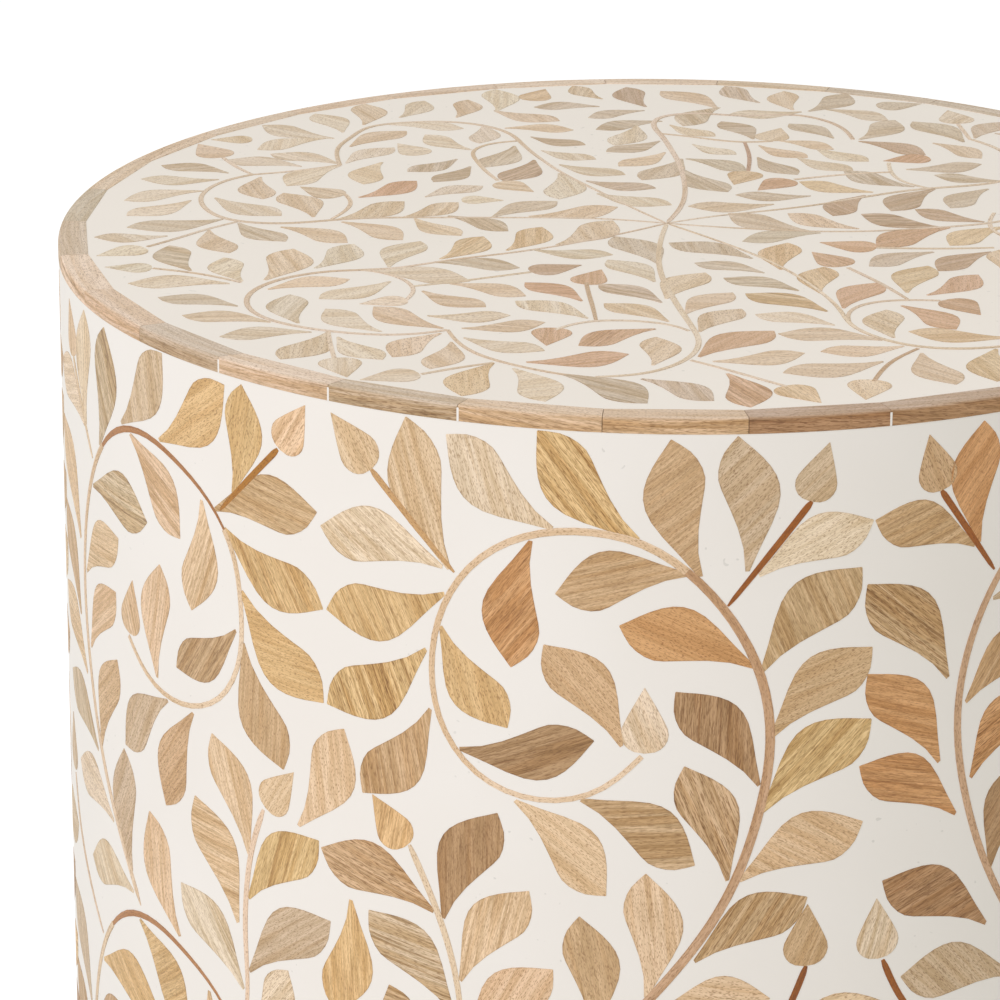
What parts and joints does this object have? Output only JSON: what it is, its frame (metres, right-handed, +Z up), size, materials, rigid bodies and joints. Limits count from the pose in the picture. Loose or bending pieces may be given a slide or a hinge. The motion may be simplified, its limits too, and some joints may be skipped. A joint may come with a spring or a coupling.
{
  "type": "drum side table",
  "caption": "Upright drum side table: a wooden drum skinned in cast resin, with leafy wood inlay on top and side, and rims of butted wood strips.",
  "frame": {"origin": "on the floor, under the middle of the drum", "axes": "+Z up along the drum's axis, -Y towards the front seen in the picture, +X to the right of it"},
  "size_m": [0.356, 0.356, 0.457],
  "materials": {
    "inlay_wood": "sanded flush and waxed",
    "vine_wood": "sanded flush and waxed",
    "rim_wood": "waxed, edges eased",
    "carcass_wood": "raw",
    "resin": "off-white, sanded satin",
    "pad_felt": "pressed felt"
  },
  "bodies": {
    "root": {"back_wall": "carcass_wood", "base_board": "carcass_wood", "bottom_rim_strips": "rim_wood", "floor_pads": "pad_felt", "front_wall": "carcass_wood", "side_resin": "resin", "top_board": "carcass_wood", "top_buds": "inlay_wood", "top_leaves": "inlay_wood", "top_resin": "resin", "top_rim_strip_01": "rim_wood", "top_rim_strip_02": "rim_wood", "top_rim_strip_03": "rim_wood", "top_rim_strip_04": "rim_wood", "top_rim_strip_05": "rim_wood", "top_rim_strip_06": "rim_wood", "top_rim_strip_07": "rim_wood", "top_rim_strip_08": "rim_wood", "top_rim_strip_09": "rim_wood", "top_rim_strip_10": "rim_wood", "top_rim_strip_11": "rim_wood", "top_rim_strip_12": "rim_wood", "top_rim_strip_13": "rim_wood", "top_rim_strip_14": "rim_wood", "top_rim_strip_15": "rim_wood", "top_rim_strip_16": "rim_wood", "top_rim_strip_17": "rim_wood", "top_rim_strip_18": "rim_wood", "top_rim_strip_19": "rim_wood", "top_rim_strip_20": "rim_wood", "top_rim_strip_21": "rim_wood", "top_rim_strip_22": "rim_wood", "top_rim_strip_23": "rim_wood", "top_rim_strip_24": "rim_wood", "top_rim_strip_25": "rim_wood", "top_rim_strip_26": "rim_wood", "top_rim_strip_27": "rim_wood", "top_rim_strip_28": "rim_wood", "top_rim_strip_29": "rim_wood", "top_rim_strip_30": "rim_wood", "top_stems": "vine_wood", "top_vines": "vine_wood", "upright_batten_1": "carcass_wood", "upright_batten_2": "carcass_wood", "upright_batten_3": "carcass_wood", "upright_batten_4": "carcass_wood", "upright_batten_5": "carcass_wood", "upright_batten_6": "carcass_wood"}
  },
  "joints": []
}
